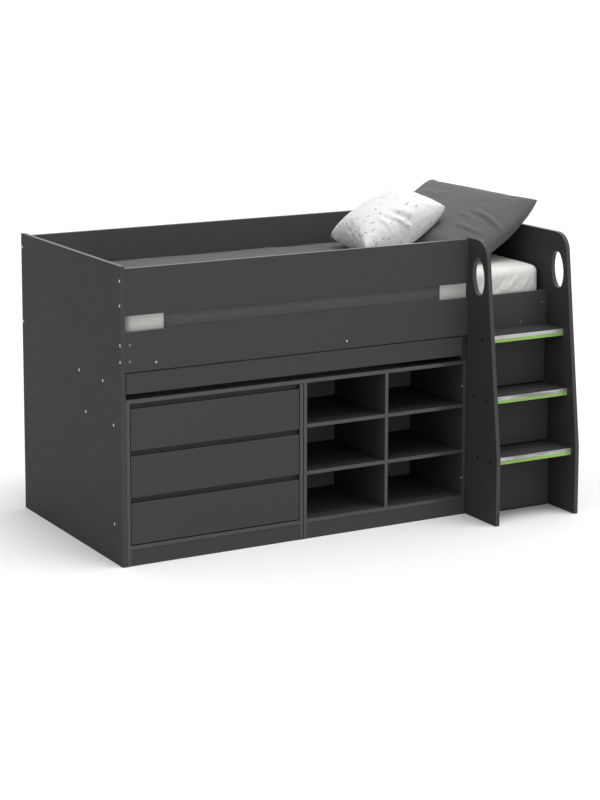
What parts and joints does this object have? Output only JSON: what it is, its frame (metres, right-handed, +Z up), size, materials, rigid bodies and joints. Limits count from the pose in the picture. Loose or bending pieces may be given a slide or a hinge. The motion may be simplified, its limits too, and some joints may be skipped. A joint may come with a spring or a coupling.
{
  "type": "mid sleeper bed",
  "caption": "Raised child's bed with a stepped ladder bay at one end, over a pull-out desk, a chest of drawers and an open bookcase, with mattress, duvet and pillows.",
  "frame": {"origin": "on the floor, at the middle of the whole bed's plan, ladder included", "axes": "+X along the bed from the closed end to the ladder end, +Y from the front to the rear, +Z up"},
  "size_m": [1.9778, 1.18, 1.2818],
  "materials": {
    "anthracite_board": "matt melamine-faced board",
    "grey_board": "matt grey board",
    "pine": "planed softwood",
    "sheet_cotton": "woven cotton",
    "duvet_cotton": "woven cotton",
    "grey_pillow_cotton": "woven cotton",
    "white_pillow_cotton": "printed woven cotton",
    "galvanised_steel": "zinc plated",
    "silver_strip": "satin",
    "green_strip": "satin"
  },
  "bodies": {
    "bed": {"left_end_panel": "anthracite_board", "right_end_panel": "anthracite_board", "ladder_side_panel": "anthracite_board", "front_rail": "anthracite_board", "rear_rail": "anthracite_board", "front_guard": "anthracite_board", "rear_guard": "anthracite_board", "slat_battens": "pine", "slats": "pine", "mattress": "sheet_cotton", "duvet": "duvet_cotton", "grey_pillow": "grey_pillow_cotton", "white_pillow": "white_pillow_cotton", "desk_tracks": "galvanised_steel", "desk_support": "anthracite_board", "chest_left_side": "anthracite_board", "chest_right_side": "anthracite_board", "storage_top": "anthracite_board", "chest_base": "anthracite_board", "chest_back": "grey_board", "chest_plinth": "anthracite_board", "chest_grip_rails": "anthracite_board", "drawer_tracks": "galvanised_steel", "bookcase_left_side": "anthracite_board", "bookcase_right_side": "anthracite_board", "bookcase_base": "anthracite_board", "bookcase_divider": "anthracite_board", "bookcase_shelves": "anthracite_board", "bookcase_back": "grey_board", "bookcase_plinth": "anthracite_board", "upper_tread": "anthracite_board", "middle_tread": "anthracite_board", "lower_tread": "anthracite_board", "silver_edges": "silver_strip", "green_edges": "green_strip", "upper_riser": "anthracite_board", "middle_riser": "anthracite_board", "lower_riser": "anthracite_board", "panel_bolts": "galvanised_steel", "barrel_nuts": "galvanised_steel", "wood_screws": "galvanised_steel"},
    "desk": {"desk_top": "anthracite_board", "desk_skirt": "anthracite_board", "desk_aprons": "anthracite_board", "desk_slides": "galvanised_steel"},
    "drawer_1": {"drawer_1_front": "anthracite_board", "drawer_1_sides": "grey_board", "drawer_1_back": "grey_board", "drawer_1_bottom": "grey_board", "drawer_1_slides": "galvanised_steel"},
    "drawer_2": {"drawer_2_front": "anthracite_board", "drawer_2_sides": "grey_board", "drawer_2_back": "grey_board", "drawer_2_bottom": "grey_board", "drawer_2_slides": "galvanised_steel"},
    "drawer_3": {"drawer_3_front": "anthracite_board", "drawer_3_sides": "grey_board", "drawer_3_back": "grey_board", "drawer_3_bottom": "grey_board", "drawer_3_slides": "galvanised_steel"}
  },
  "joints": [
    {"name": "desk_slide", "type": "slide", "parent": "bed", "child": "desk", "axis": [0, -1, 0], "range_m": [0, 0.3]},
    {"name": "drawer_1_slide", "type": "slide", "parent": "bed", "child": "drawer_1", "axis": [0, -1, 0], "range_m": [0, 0.27]},
    {"name": "drawer_2_slide", "type": "slide", "parent": "bed", "child": "drawer_2", "axis": [0, -1, 0], "range_m": [0, 0.27]},
    {"name": "drawer_3_slide", "type": "slide", "parent": "bed", "child": "drawer_3", "axis": [0, -1, 0], "range_m": [0, 0.27]}
  ]
}
